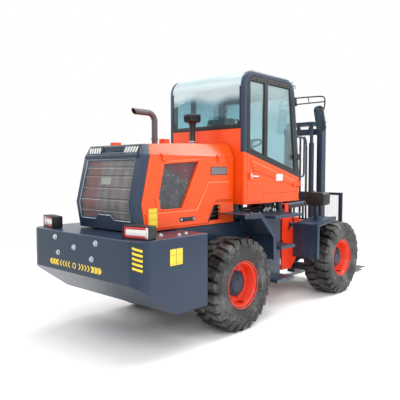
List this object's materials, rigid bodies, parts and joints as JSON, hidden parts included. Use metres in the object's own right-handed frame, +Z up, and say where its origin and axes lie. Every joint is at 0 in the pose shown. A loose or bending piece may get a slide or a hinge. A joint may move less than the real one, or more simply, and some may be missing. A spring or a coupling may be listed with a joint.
{
  "type": "rough terrain forklift",
  "caption": "Articulated rough terrain forklift: counterweight, engine hood, glazed cab on the rear frame, tilting mast with forks on the front frame, four lugged tyres.",
  "frame": {"origin": "ground level, middle of the overall length and width", "axes": "+X forwards towards the forks, +Y to the machine's left, +Z up"},
  "size_m": [5.98, 2.06, 3.09],
  "materials": {
    "orange_paint": "gloss enamel",
    "slate_paint": "satin enamel",
    "black_paint": "satin enamel",
    "iron": "painted casting",
    "tyre_rubber": "matt",
    "glass": "clear tinted",
    "black_plastic": "grained",
    "chrome_rod": "polished",
    "steel": "worn",
    "seat_vinyl": "soft vinyl",
    "lens": "moulded lens"
  },
  "bodies": {
    "rear_frame": {"rear_chassis": "slate_paint", "counterweight": "iron", "tail_lamps": "lens", "grille_shell": "slate_paint", "grille_screen": "black_paint", "rear_work_lamps": "black_plastic", "hood_cover": "orange_paint", "radiator": "black_paint", "engine": "iron", "exhaust_pipe": "black_paint", "air_precleaner": "black_plastic", "rear_axle": "iron", "rear_fenders": "slate_paint", "side_tanks": "slate_paint", "cab_tub": "orange_paint", "cab_frame": "slate_paint", "cab_roof": "slate_paint", "rear_window": "glass", "windscreen": "glass", "seat": "seat_vinyl", "steering_column": "black_plastic", "mirrors": "black_plastic", "grab_bars": "slate_paint", "roof_lamps": "black_plastic", "valve_bank": "slate_paint"},
    "front_frame": {"front_chassis": "orange_paint", "front_axle": "iron", "front_fenders": "slate_paint", "head_lamps": "black_plastic"},
    "right_door": {"door_right": "orange_paint", "door_glass_right": "glass"},
    "left_door": {"door_left": "orange_paint", "door_glass_left": "glass"},
    "right_lid": {"hood_lid_right": "orange_paint", "lid_mesh_right": "black_paint"},
    "left_lid": {"hood_lid_left": "orange_paint", "lid_mesh_left": "black_paint"},
    "outer_mast": {"mast_outer": "black_paint", "lift_barrels": "slate_paint"},
    "inner_mast": {"mast_inner": "black_paint", "lift_chains": "steel"},
    "fork_carriage": {"carriage": "black_paint", "forks": "steel"},
    "tilt_cylinder_barrels": {"tilt_barrels": "slate_paint"},
    "tilt_cylinder_rods": {"tilt_rods": "chrome_rod"},
    "right_steer_barrel": {"steer_barrel_right": "slate_paint"},
    "left_steer_barrel": {"steer_barrel_left": "slate_paint"},
    "right_steer_rod": {"steer_rod_right": "chrome_rod"},
    "left_steer_rod": {"steer_rod_left": "chrome_rod"},
    "rear_right_wheel": {"tyre_rear_right": "tyre_rubber", "rim_rear_right": "orange_paint"},
    "rear_left_wheel": {"tyre_rear_left": "tyre_rubber", "rim_rear_left": "orange_paint"},
    "front_right_wheel": {"tyre_front_right": "tyre_rubber", "rim_front_right": "orange_paint"},
    "front_left_wheel": {"tyre_front_left": "tyre_rubber", "rim_front_left": "orange_paint"}
  },
  "joints": [
    {"name": "articulation", "type": "hinge", "parent": "rear_frame", "child": "front_frame", "pos_m": [-0.17, 0, 0.8], "axis": [0, 0, 1], "range_deg": [-35, 35]},
    {"name": "rear_right_wheel_spin", "type": "hinge", "parent": "rear_frame", "child": "rear_right_wheel", "pos_m": [-1.39, -0.745, 0.5375], "axis": [0, 1, 0], "continuous": true},
    {"name": "rear_left_wheel_spin", "type": "hinge", "parent": "rear_frame", "child": "rear_left_wheel", "pos_m": [-1.39, 0.745, 0.5375], "axis": [0, 1, 0], "continuous": true},
    {"name": "front_right_wheel_spin", "type": "hinge", "parent": "front_frame", "child": "front_right_wheel", "pos_m": [1.05, -0.745, 0.5375], "axis": [0, 1, 0], "continuous": true},
    {"name": "front_left_wheel_spin", "type": "hinge", "parent": "front_frame", "child": "front_left_wheel", "pos_m": [1.05, 0.745, 0.5375], "axis": [0, 1, 0], "continuous": true},
    {"name": "right_door_hinge", "type": "hinge", "parent": "rear_frame", "child": "right_door", "pos_m": [0.21, -0.668, 1.85], "axis": [0, 0, 1], "range_deg": [0, 80]},
    {"name": "left_door_hinge", "type": "hinge", "parent": "rear_frame", "child": "left_door", "pos_m": [0.21, 0.668, 1.85], "axis": [0, 0, -1], "range_deg": [0, 80]},
    {"name": "right_lid_hinge", "type": "hinge", "parent": "rear_frame", "child": "right_lid", "pos_m": [-1.79, -0.513, 2.0125], "axis": [-1, 0, 0], "range_deg": [0, 65]},
    {"name": "left_lid_hinge", "type": "hinge", "parent": "rear_frame", "child": "left_lid", "pos_m": [-1.79, 0.513, 2.0125], "axis": [1, 0, 0], "range_deg": [0, 65]},
    {"name": "mast_tilt", "type": "hinge", "parent": "front_frame", "child": "outer_mast", "pos_m": [1.37, 0, 0.48], "axis": [0, 1, 0], "range_deg": [-10, 6]},
    {"name": "mast_lift", "type": "slide", "parent": "outer_mast", "child": "inner_mast", "axis": [0, 0, 1], "range_m": [0, 1.8], "deforming": ["lift_chains"]},
    {"name": "carriage_lift", "type": "slide", "parent": "inner_mast", "child": "fork_carriage", "axis": [0, 0, 1], "range_m": [0, 1.8]},
    {"name": "tilt_cylinder_swing", "type": "hinge", "parent": "front_frame", "child": "tilt_cylinder_barrels", "pos_m": [0.39, 0, 1.32], "axis": [0, 1, 0], "range_deg": [-3, 3]},
    {"name": "tilt_rod_slide", "type": "slide", "parent": "tilt_cylinder_barrels", "child": "tilt_cylinder_rods", "axis": [0.9995, 0, 0.0329], "range_m": [-0.1738, 0.1043]},
    {"name": "right_steer_swing", "type": "hinge", "parent": "rear_frame", "child": "right_steer_barrel", "pos_m": [-0.73, -0.33, 0.8], "axis": [0, 0, 1], "range_deg": [-15.1, 15.1]},
    {"name": "right_steer_rod_slide", "type": "slide", "parent": "right_steer_barrel", "child": "right_steer_rod", "axis": [0.9984, -0.0567, 0], "range_m": [-0.2275, 0.2275]},
    {"name": "left_steer_swing", "type": "hinge", "parent": "rear_frame", "child": "left_steer_barrel", "pos_m": [-0.73, 0.33, 0.8], "axis": [0, 0, 1], "range_deg": [-15.1, 15.1]},
    {"name": "left_steer_rod_slide", "type": "slide", "parent": "left_steer_barrel", "child": "left_steer_rod", "axis": [0.9984, 0.0567, 0], "range_m": [-0.2275, 0.2275]}
  ],
  "couplings": [
    {"joint": "carriage_lift", "follows": "mast_lift", "ratio": 1},
    {"joint": "tilt_cylinder_swing", "follows": "mast_tilt", "ratio": -0.09457},
    {"joint": "tilt_rod_slide", "follows": "mast_tilt", "m_per_rad": 0.86606},
    {"joint": "right_steer_swing", "follows": "articulation", "ratio": 0.37521},
    {"joint": "right_steer_rod_slide", "follows": "articulation", "m_per_rad": 0.35468},
    {"joint": "left_steer_swing", "follows": "articulation", "ratio": 0.37521},
    {"joint": "left_steer_rod_slide", "follows": "articulation", "m_per_rad": -0.35468}
  ]
}
